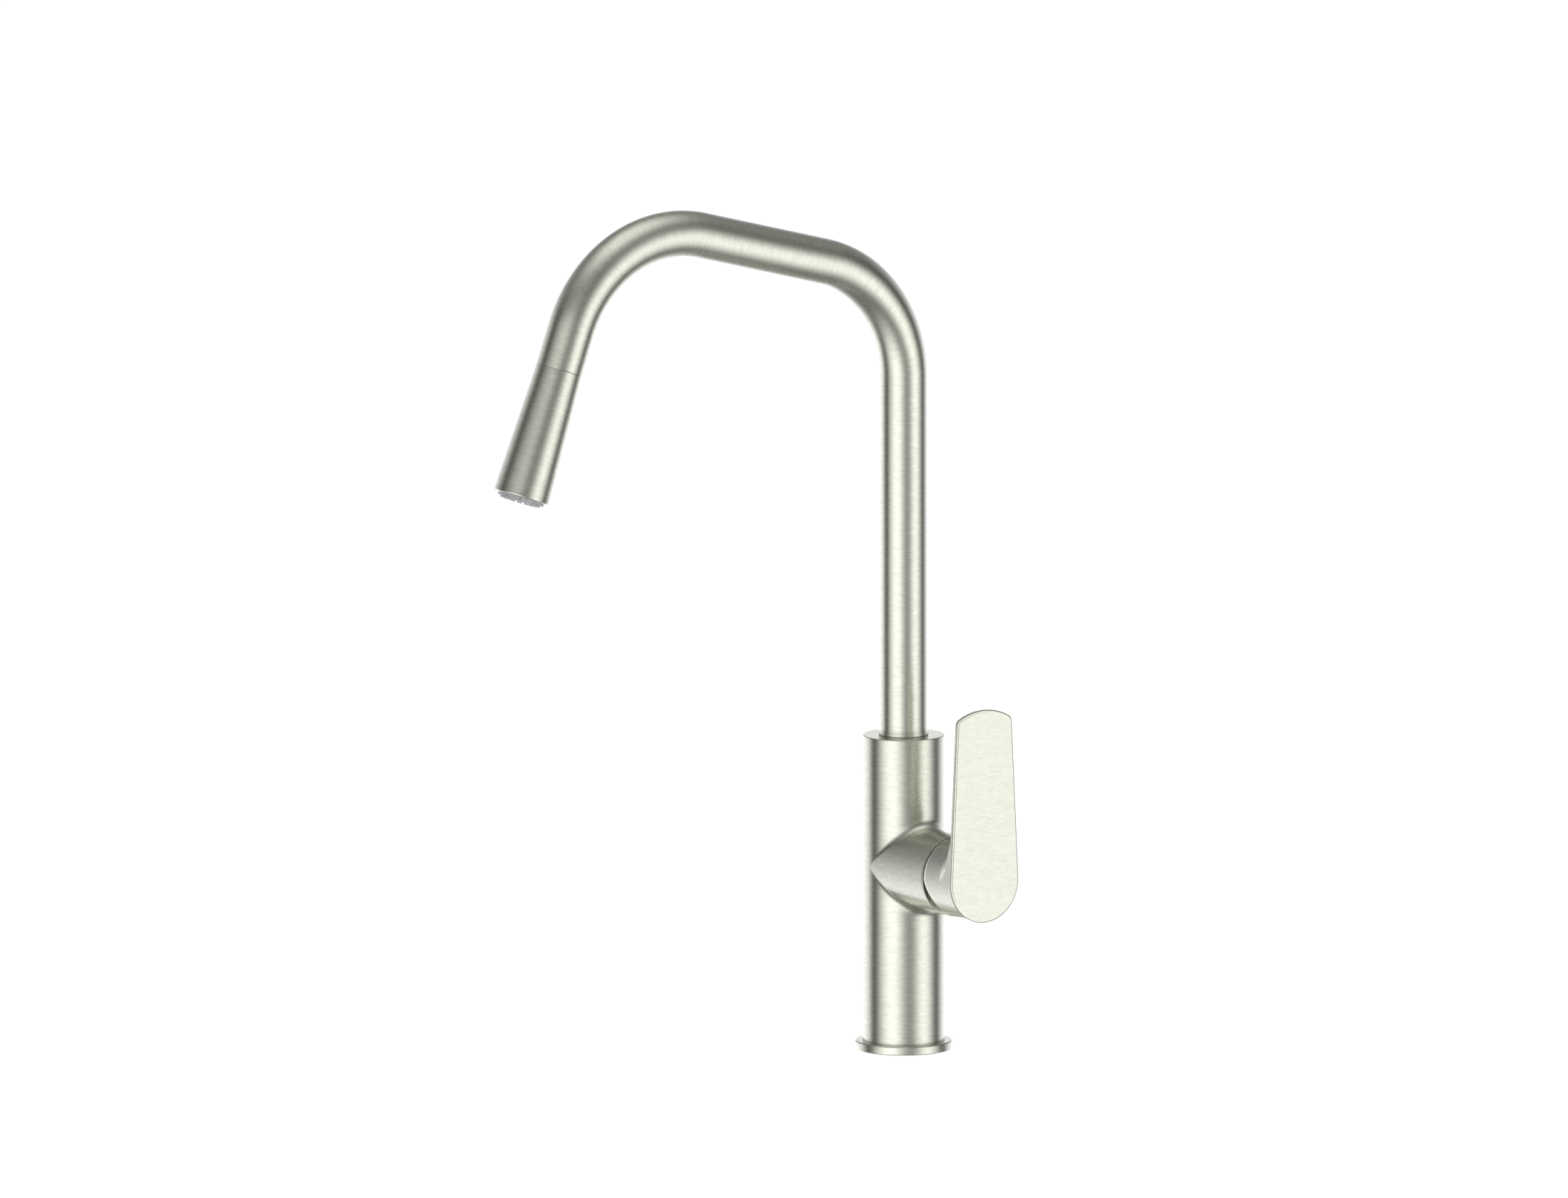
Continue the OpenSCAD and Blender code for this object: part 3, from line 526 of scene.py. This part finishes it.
def body_shell(material):
    """Upright body with its side branch and the small hollow blend between them."""
    shape = Shape("body_shell")
    turn = full_turn(ROUND_STEPS)
    body_side(shape, turn, 1)
    body_side(shape, turn, -1)
    branch(shape, turn)
    top = supported(arc(BODY_R - BODY_EDGE, BODY_TOP - BODY_EDGE, BODY_EDGE, 0, 90, 6)
                    + [(NECK_BORE_R + BORE_CHAMFER, BODY_TOP), (NECK_BORE_R, BODY_TOP - BORE_CHAMFER),
                       (NECK_BORE_R, NECK_BORE_FROM)])
    shape.revolve(top)
    shape.revolve([(BODY_R, FLANGE_TOP), (SHANK_BORE_R, FLANGE_TOP), (SHANK_BORE_R, SHANK_BORE_TO)])
    return shape.build(material)


def flange(material):
    """Base flange: a closed ring with a rounded upper rim and a chamfered foot."""
    shape = Shape("flange")
    e = SOFT_RIM
    inner, foot = SHANK_BORE_R + 0.4, 0.3
    shape.revolve(supported([(inner, 0.0), (FLANGE_R - foot, 0.0), (FLANGE_R, foot)]
                            + arc(FLANGE_R - e, FLANGE_TOP - e, e, 0, 90, 6)
                            + [(inner, FLANGE_TOP), (inner, 0.0)]))
    return shape.build(material)


def tube(material):
    """The spout's bent tube with its small flared foot and its open lower end."""
    shape = Shape("spout_pipe")
    turn = full_turn(128)
    bend_1 = RISER_TOP + BEND_R * math.radians(BEND_1)
    bend_2 = SPOUT_LEN - OUTLET
    foot_bottom, edge = BODY_TOP + SEAM, 0.08
    foot = [(TUBE_START, TUBE_R - 1.4), (TUBE_START, FOOT_SKIRT_R), (foot_bottom, FOOT_SKIRT_R),
            (foot_bottom, FOOT_R - edge), (foot_bottom + edge, FOOT_R), (TUBE_START + FOOT_BAND, FOOT_R)]
    foot += [(TUBE_START + FOOT_BAND + (FOOT_H - FOOT_BAND) * k / 8,
              TUBE_R + (FOOT_R - TUBE_R) * (1 - k / 8) ** 2) for k in range(1, 9)]
    # Places of the rings along the centre line, as [from, to, points] of each stretch
    stations = []
    for start, stop, count in ((TUBE_START + FOOT_H, RISER_TOP, 24), (RISER_TOP, bend_1, 61),
                               (bend_1, bend_1 + SLOPE, 12), (bend_1 + SLOPE, bend_2, 69),
                               (bend_2, SPOUT_LEN - 0.4, 6)):
        stations += list(np.linspace(start, stop, count)[1:])
    e = CRISP_RIM
    end = [(SPOUT_LEN - e + e * math.sin(a), TUBE_R - e + e * math.cos(a))
           for a in np.linspace(0, math.pi / 2, 5)]
    end += [(SPOUT_LEN, TUBE_BORE_R + BORE_CHAMFER), (SPOUT_LEN - BORE_CHAMFER, TUBE_BORE_R),
            (SPOUT_LEN - TUBE_BORE_DEPTH, TUBE_BORE_R)]
    rows = foot + [(s, TUBE_R) for s in stations] + end
    points = np.array([moved(circle(r, turn, 0), spout_place(s)) for s, r in rows])
    shape.grid(points, np.array([circle(TUBE_R, turn, s) for s, _ in rows]))
    return shape.build(material)


def head_radius(h):
    """The spray head's outer radius at the height h from its top."""
    return HEAD_TOP_R + (HEAD_END_R - HEAD_TOP_R) * h / HEAD_LEN


def spray_head(material):
    """Tapered shell of the spray head, with the bore that its toothed ring sits in."""
    shape = Shape("spray_head")
    e, f = SOFT_RIM, CRISP_RIM
    outer = [(HEAD_NECK_R, SEAM), (HEAD_TOP_R - f, SEAM)]
    outer += arc(HEAD_TOP_R - f, SEAM + f, f, -90, 0, 4)[1:]
    outer += [(head_radius(h), h) for h in np.linspace(2.0, HEAD_LEN - 2.0, 30)]
    outer += arc(HEAD_END_R - e, HEAD_LEN - e, e, 0, 90, 6)
    bore, under = NOZZLE_R + NOZZLE_GAP, SEAM + HEAD_TOP_T
    inner = [(bore + NOZZLE_GAP, HEAD_LEN), (bore, HEAD_LEN - NOZZLE_GAP), (bore, HEAD_STEP_H),
             (head_radius(54.0) - HEAD_WALL, 57.0), (head_radius(4.0) - HEAD_WALL, under),
             (HEAD_NECK_R, under), (HEAD_NECK_R, SEAM)]
    shape.revolve(supported(outer) + inner, steps=160, place=outlet_place())
    return shape.build(material)


def notched_ring(shape, ri, ro, low, high, notches, width, depth, place):
    """A ring with square notches in its end, each of the width and depth given."""
    half = math.asin(width / 2 / ro)
    turn, at = [], []
    for k in range(notches):
        mid = 2 * math.pi * k / notches
        following = 2 * math.pi * (k + 1) / notches
        floor = list(np.linspace(mid - half, mid + half, 4)[1:-1])
        edges = [mid - half, mid - half] + floor + [mid + half, mid + half]
        land = list(np.linspace(mid + half, following - half, 9)[1:-1])
        turn += edges + land
        at += [high] + [high - depth] * 4 + [high] * (1 + len(land))
    turn, at = np.array(turn), np.array(at)
    section = [(ri, low), (ro, low), (ro, at), (ri, at), (ri, low)]
    rows = np.array([moved(circle(r, turn, h), place) for r, h in section])
    shape.grid(rows, rows - np.array(place)[:3, 3])


def nozzle(material):
    """Toothed ring round the spray face: a notched rim with a castellated collar inside it."""
    shape = Shape("nozzle_rim")
    place = outlet_place()
    notched_ring(shape, *NOZZLE_RIM, place)
    notched_ring(shape, *NOZZLE_COLLAR, place)
    return shape.build(material, sharp=25)


def plate_outline():
    """Points and outward normals round the lever plate, anticlockwise seen from the front, [across, up]."""
    lean = math.radians(PLATE_LEAN)
    reach = PLATE_ARCH_R - PLATE_CORNER_R

    def side_at(y):
        return BODY_R / math.cos(lean) - y * math.tan(lean) - PLATE_CORNER_R / math.cos(lean)

    cy = PLATE_TOP - PLATE_CORNER_R
    for _ in range(12):
        cy = PLATE_TOP - PLATE_ARCH_R + math.sqrt(reach * reach - side_at(cy) ** 2)
    cx = side_at(cy)
    half = math.degrees(math.atan2(cx, cy - (PLATE_TOP - PLATE_ARCH_R)))
    parts = []

    def add(x, y, r, start, end, steps):
        for a in np.radians(np.linspace(start, end, steps)):
            parts.append((x + r * math.cos(a), y + r * math.sin(a), math.cos(a), math.sin(a)))

    foot = (BODY_R * math.cos(lean), BODY_R * math.sin(lean))
    shoulder = (cx + PLATE_CORNER_R * math.cos(lean), cy + PLATE_CORNER_R * math.sin(lean))
    side = [(foot[0] + (shoulder[0] - foot[0]) * t, foot[1] + (shoulder[1] - foot[1]) * t,
             math.cos(lean), math.sin(lean)) for t in np.linspace(0, 1, 40)[1:-1]]
    parts += side
    add(cx, cy, PLATE_CORNER_R, PLATE_LEAN, 90 - half, 10)
    add(0, PLATE_TOP - PLATE_ARCH_R, PLATE_ARCH_R, 90 - half, 90 + half, 30)
    add(-cx, cy, PLATE_CORNER_R, 90 + half, 180 - PLATE_LEAN, 10)
    parts += [(-x, y, -nx, ny) for x, y, nx, ny in reversed(side)]
    add(0, 0, BODY_R, 180 - PLATE_LEAN, 360 + PLATE_LEAN, 90)
    out = [parts[0]]
    for p in parts[1:]:
        if math.dist(p[:2], out[-1][:2]) > 0.02:
            out.append(p)
    if math.dist(out[0][:2], out[-1][:2]) < 0.02:
        out.pop()
    return np.array(out)


def on_lever(across, up, x):
    """Points on the lever: across to +Y, up from its axis, and x from the body's axis."""
    return np.stack([x + 0 * across, across, LEVER_Z + up], -1)


def plate_rows(n):
    """Rows of [inset, x] round the plate, from its flat back over its side to its face. n are its normals."""
    back = PLATE_X - PLATE_T
    rows = [(PLATE_CAP, back), (2.2, back), (BACK_INSET + 0.1, back), (BACK_INSET - 0.05, back + 0.07),
            (0.05, back + BACK_DEPTH - 0.07), (0, back + BACK_DEPTH), (0, back + BACK_DEPTH + 0.08)]
    stepped = eased(np.clip(0.35 * n[:, 1] - 0.9 * n[:, 0] + 0.1, 0, 1))
    for (i0, d0), (i1, d1) in zip(PLATE_PLAIN, PLATE_STEPS):
        inset = (i0 + (i1 - i0) * stepped)[:, None]
        rows.append((inset, PLATE_X - d0 - (d1 - d0) * stepped))
    return rows + [(2.4, PLATE_X), (PLATE_CAP, PLATE_X)]


def hub_rings(rho, up):
    """Rings of [radius, x] from the hub's cavity over its rim, side and flare, into the plate's back.

    rho and up are, at each point of the plate's outline, its distance from the axis and the upward
    share of the way to it.
    """
    back = PLATE_X - PLATE_T
    flare_x = back - PLATE_BLEND
    relief = math.tan(math.radians(HUB_RELIEF))

    def rim_x(r):
        return HUB_X + np.maximum(0, -up * r) * relief

    flat, ease, e = 0 * rho, 0.4, CRISP_RIM
    inner, outer = HUB_CAVITY_R + flat, BODY_R + flat
    first = rim_x(BODY_R) + e
    rings = [(0.5 + flat, HUB_CAVITY_X + flat), (inner - ease, HUB_CAVITY_X + flat),
             (inner, HUB_CAVITY_X - ease + flat), (inner, rim_x(HUB_CAVITY_R) + 0.15),
             (inner + 0.12, rim_x(HUB_CAVITY_R + 0.12)), (outer - e, rim_x(BODY_R - e)),
             (outer - 0.04, rim_x(BODY_R) + 0.04), (outer, first)]
    for t in np.linspace(0, 1, 9)[1:]:
        rings.append((outer, first + (flare_x - first) * t))

    top = np.minimum(np.maximum(rho, BODY_R), BODY_R + PLATE_BLEND)
    reach = np.sqrt(np.maximum(0, PLATE_BLEND ** 2 - (PLATE_BLEND - (top - BODY_R)) ** 2))
    for t in np.linspace(0, 1, 13)[1:]:
        dx = reach * math.sin(t * math.pi / 2)
        hollow = np.sqrt(np.maximum(0, PLATE_BLEND ** 2 - dx ** 2))
        rings.append((BODY_R + PLATE_BLEND - hollow, flare_x + dx))

    # The last rings end inside the plate, and at the chamfer where the outline is as near as the hub
    last_x = flare_x + reach
    inside = np.clip((rho - top) / BACK_INSET, 0, 1)
    end_x = back + BACK_DEPTH * (1 - inside) + 0.3 * np.minimum(1, 5 * inside)
    for t in (0.33, 0.66, 1.0):
        rings.append((top, last_x + (end_x - last_x) * t))
    return rings


def lever(material):
    """Hub, its hollow flare up to the plate, and the plate with its eased edges."""
    shape = Shape("lever")
    outline = plate_outline()
    p, n = outline[:, :2], outline[:, 2:]
    plate = np.array([on_lever(*(p - n * inset).T, x) for inset, x in plate_rows(n)])
    shape.grid(plate, brush_of(plate))
    for end in (0, -1):
        shape.cap(plate[end], brush_of(plate[end]))

    rho = np.hypot(p[:, 0], p[:, 1])
    across, up = (p / rho[:, None]).T
    rings = hub_rings(rho, up)
    hub = np.array([on_lever(across * r, up * r, x) for r, x in rings])
    shape.grid(hub, np.array([lengthways(x + r - BODY_R, across * BODY_R, up * BODY_R) for r, x in rings]))
    return shape.build(material, sharp=28)


def lengthways(along, a, b):
    """Brush coordinates for lines that run along a round part. a and b are places across it."""
    return np.stack([along, a * ACROSS / ALONG, b], -1)


def brush_of(points):
    """Brushing across the plate: lines run along Y, and break along Z."""
    return np.stack([points[..., 1], points[..., 0], points[..., 2]], -1)


def pulled_hose(material):
    """Hose between the spout's mouth and the spray head's sleeve."""
    shape = Shape("hose_span")
    place = outlet_place()
    turn = full_turn(48)
    along = np.linspace(0, 1, 141)
    points = np.array([circle(HOSE_R, turn, HOSE_START + (HOSE_END - HOSE_START) * t) for t in along])
    brush = np.array([np.stack([HOSE_R * turn, 0 * turn, PULL * eased(t) + 0 * turn], 1) for t in along])
    shape.grid(moved(points, place), brush)
    ends = [place @ Vector((0, 0, h)) * MM for h in (HOSE_START, HOSE_END)]
    return shape.build(material), ends


# ---------------------------------------------------------------- scene

def make_camera():
    """Parallel camera at the photograph's angle."""
    a, e = AZIMUTH, ELEVATION
    back = Vector((math.sin(a) * math.cos(e), -math.cos(a) * math.cos(e), math.sin(e)))
    right = Vector((math.cos(a), math.sin(a), 0))
    up = back.cross(right)
    data = bpy.data.cameras.new("camera")
    data.type, data.ortho_scale = "ORTHO", FRAME_WIDTH
    data.clip_start, data.clip_end = 0.1, 100
    cam = bpy.data.objects.new("camera", data)
    bpy.context.scene.collection.objects.link(cam)
    cam.rotation_mode = "QUATERNION"
    cam.location = right * OFFSET_RIGHT + up * OFFSET_UP + back * DISTANCE
    cam.rotation_quaternion = (-back).to_track_quat("-Z", "Y")
    bpy.context.scene.camera = cam


# Brightness of the studio's upright panels: [degrees to the right of the camera, brightness]
PANELS = [(-180, 2.5), (-165, 1.65), (-128, 1.30), (-112, 0.88), (-98, 0.14), (-84, 0.12),
          (-70, 0.64), (-55, 1.22), (-42, 1.52), (-30, 1.60), (-18, 1.42), (-6, 0.94), (6, 0.46),
          (18, 0.32), (28, 0.46), (40, 0.98), (52, 1.45), (64, 1.47), (76, 1.10), (88, 0.52),
          (102, 0.08), (115, 0.30), (130, 1.00), (150, 1.35), (165, 1.65), (180, 2.5)]
# How they fall off: [degrees above the horizon, share]
FALL_OFF = [(-90, 0.0), (-70, 0.04), (-60, 0.16), (-47, 0.50), (-36, 0.80), (-24, 1.0), (-9, 1.0),
            (-2, 0.92), (9, 0.66), (16, 0.46), (24, 0.22), (34, 0.08), (45, 0.0), (90, 0.0)]
# The fall-off is this many degrees higher in front than at the sides, and as many lower behind
FRONT_RISE = 5
# Panel overhead and light back from the floor: [degrees above the horizon, brightness]
OVERHEAD = [(-90, 0.18), (-65, 0.18), (-50, 0.13), (-35, 0.05), (-20, 0.01), (0, 0.0), (12, 0.02),
            (24, 0.09), (34, 0.17), (45, 0.28), (55, 0.46), (64, 0.70), (72, 1.0), (90, 1.10)]
# Strength of the studio: no less than any brightness above, as a ramp holds shares of it
STUDIO = 2.5
# Floor: its shade, what it gives off, its flat radius, and the radius of the curve up to the surround
FLOOR_SHADES = (0.29, 0.31)
FLOOR_GLOW = 0.94
FLOOR_R = 12000
FLOOR_CURVE_R = 3000


def cool(v, k):
    """Grey of the brightness v, made bluer as k goes from 0 to 1."""
    return (v * (1 - 0.02 * k), v, v * (1 + 0.10 * k))


def grey(v):
    return (v, v, v)


def make_world():
    """Soft studio: pale upright panels with dark gaps between them, and a panel overhead."""
    world = bpy.data.worlds.new("studio")
    bpy.context.scene.world = world
    world.use_nodes = True
    tree = world.node_tree
    tree.nodes.clear()

    def node(kind, **values):
        made = tree.nodes.new(kind)
        for key, value in values.items():
            setattr(made, key, value)
        return made

    def maths(operation, a, b=None):
        made = node("ShaderNodeMath", operation=operation)
        for socket, value in zip(made.inputs, (a, b)):
            if isinstance(value, (int, float)):
                socket.default_value = value
            elif value is not None:
                tree.links.new(value, socket)
        return made.outputs[0]

    split = node("ShaderNodeSeparateXYZ")
    tree.links.new(node("ShaderNodeTexCoord").outputs["Generated"], split.inputs[0])
    x, y, z = split.outputs
    sa, ca = math.sin(AZIMUTH), math.cos(AZIMUTH)
    towards = maths("SUBTRACT", maths("MULTIPLY", x, sa), maths("MULTIPLY", y, ca))
    right = maths("ADD", maths("MULTIPLY", x, ca), maths("MULTIPLY", y, sa))
    round_t = maths("ADD", maths("DIVIDE", maths("ARCTAN2", right, towards), 2 * math.pi), 0.5)
    height = maths("ARCSINE", z)
    height_t = maths("ADD", maths("DIVIDE", height, math.pi), 0.5)
    risen = maths("SUBTRACT", height, maths("MULTIPLY", towards, math.radians(FRONT_RISE)))
    risen_t = maths("ADD", maths("DIVIDE", risen, math.pi), 0.5)

    def ramp(value, stops):
        made = node("ShaderNodeValToRGB")
        fill_ramp(made.color_ramp, stops, "CARDINAL")
        tree.links.new(value, made.inputs[0])
        return made.outputs[0]

    def mix(kind, a, b):
        made = node("ShaderNodeMix", data_type="RGBA", blend_type=kind)
        # Inputs 6 and 7 and output 2 are the node's sockets for colours
        made.inputs["Factor"].default_value = 1.0
        tree.links.new(a, made.inputs[6])
        tree.links.new(b, made.inputs[7])
        return made.outputs[2]

    panels = ramp(round_t, [((d + 180) / 360, cool(v / STUDIO, max(0.0, abs(d) / 90 - 1)))
                            for d, v in PANELS])
    share = ramp(risen_t, [((d + 90) / 180, grey(v)) for d, v in FALL_OFF])
    over = ramp(height_t, [((d + 90) / 180, grey(v / STUDIO)) for d, v in OVERHEAD])
    back = node("ShaderNodeBackground")
    back.inputs["Strength"].default_value = STUDIO
    tree.links.new(mix("ADD", mix("MULTIPLY", panels, share), over), back.inputs["Color"])
    tree.links.new(back.outputs[0], node("ShaderNodeOutputWorld").inputs["Surface"])


def make_floor():
    """Plain white floor that curves up into a plain white surround. Neither shows in reflections."""
    n = Nodes("floor")
    n.set(Roughness=0.9, Specular_IOR_Level=0.0)
    cloud = n.noise(n.place(None, (0.7, 0.7, 0.7)))
    low, high = FLOOR_SHADES
    n.join(n.ramp(cloud, [(0.3, grey(low)), (0.7, grey(high))]), n.shader.inputs["Base Color"])
    n.shader.inputs["Emission Color"].default_value = (1, 1, 1, 1)
    n.shader.inputs["Emission Strength"].default_value = FLOOR_GLOW
    shape = Shape("floor")
    shape.revolve([(0.05, 0), (2000, 0), (6000, 0), (FLOOR_R, 0)]
                  + arc(FLOOR_R, FLOOR_CURVE_R, FLOOR_CURVE_R, -90, 0, 12)[1:]
                  + arc(0, FLOOR_CURVE_R, FLOOR_R + FLOOR_CURVE_R, 0, 89.9, 24)[1:], 96)
    floor = shape.build(n.material, sharp=180)
    floor.visible_glossy = False
    floor.visible_diffuse = False
    floor.visible_shadow = False


def paint_cad(materials):
    """Gives each carried-over CAD node the procedural material of its slot in the record."""
    for name, obj in NODES.items():
        obj.data.materials.clear()
        obj.data.materials.append(materials[SLOT_OF[name]])


make_camera()
make_world()
make_floor()
bpy.context.scene.view_settings.view_transform = "Standard"
bpy.context.scene.view_settings.look = "None"

nickel = nickel_material()
grey_plastic = grey_plastic_material()
paint_cad({
    "brushed_nickel": nickel_turned_material(),
    "brass": brass_material(),
    "steel": steel_material(),
    "rubber": rubber_material(),
    "black_plastic": black_plastic_material(),
    "white_plastic": white_plastic_material(),
    "grey_plastic": grey_plastic,
    "ceramic": ceramic_material(),
    "hose_braid": braid_material(),
})

# The cartridge's cover shows in the gap behind the hub; its darkened nickel is painted shade for that gap
NODES["trim_dome"].data.materials[0] = painted_shade_nickel_material()

for piece, body, node, slot in (
    (body_shell(nickel), "mixer", "body_casting", "brushed_nickel"),
    (flange(nickel), "mixer", "base_flange", "brushed_nickel"),
    (tube(nickel), "spout", "spout_tube", "brushed_nickel"),
    (spray_head(nickel), "spray_head", "spray_head_shell", "brushed_nickel"),
    (nozzle(grey_plastic), "spray_head", "nozzle_ring", "grey_plastic"),
    (lever(nickel_plate_material()), "handle", "handle_lever", "brushed_nickel"),
):
    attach(piece, body)
    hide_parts(node)

hose, hose_ends = pulled_hose(braid_material("brush"))
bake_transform(hose)
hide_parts("spray_hose_end")
